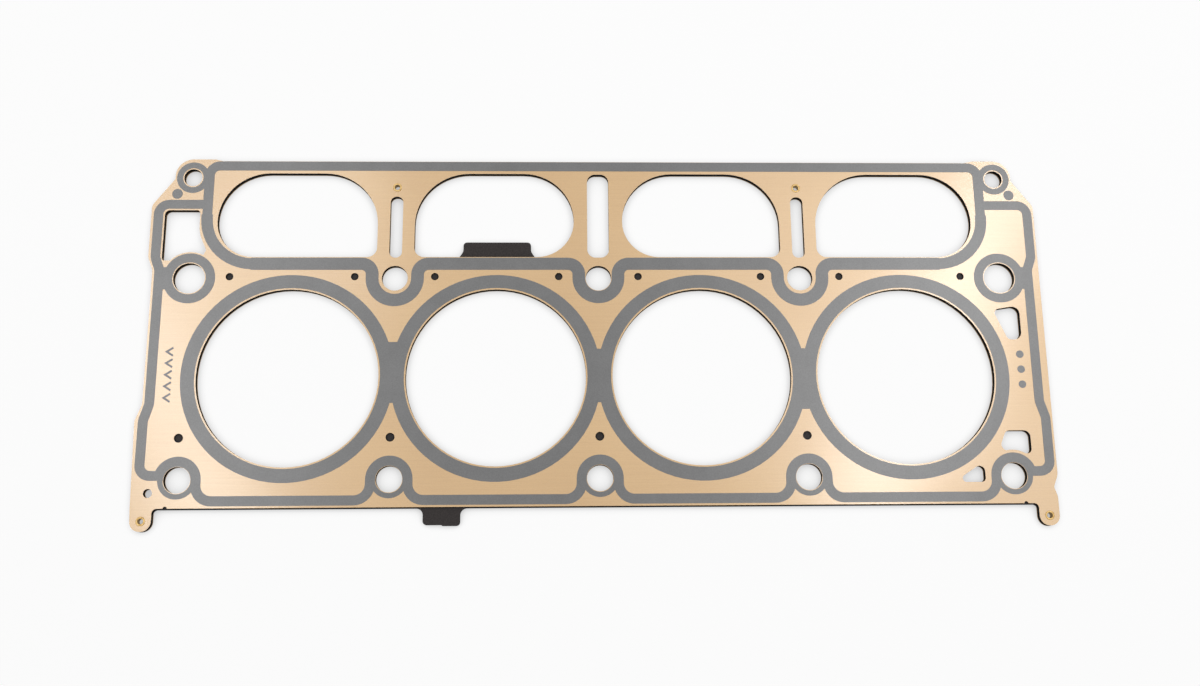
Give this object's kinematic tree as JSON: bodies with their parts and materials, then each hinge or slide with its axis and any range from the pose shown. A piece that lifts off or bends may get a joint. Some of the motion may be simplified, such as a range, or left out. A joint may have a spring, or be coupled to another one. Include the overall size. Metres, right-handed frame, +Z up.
{
  "type": "cylinder head gasket",
  "caption": "Flat multi-layer steel cylinder head gasket with round bores in a row, coolant windows along one side and grey printed sealing lines.",
  "frame": {"origin": "on the underside of the block-side sheet, on the bore line, midway between the two middle bores", "axes": "+X along the bore line towards the rear end, +Y towards the large windows, +Z up through the stack towards the cylinder head"},
  "size_m": [0.4932, 0.2058, 0.0041],
  "materials": {
    "gold_steel": "satin, gold-tinted coating",
    "dark_steel": "satin, dark",
    "grey_print": "matt screen-printed sealant",
    "brass": "satin"
  },
  "bodies": {
    "root": {"upper_sheet": "gold_steel", "lower_sheet": "gold_steel", "spacer_plate": "dark_steel", "upper_print": "grey_print", "lower_print": "grey_print", "corner_dot_front": "grey_print", "corner_dot_rear": "grey_print", "front_marks": "grey_print", "size_marks": "grey_print", "eyelet_1": "brass", "eyelet_2": "brass", "eyelet_3": "brass", "eyelet_4": "brass"}
  },
  "joints": []
}
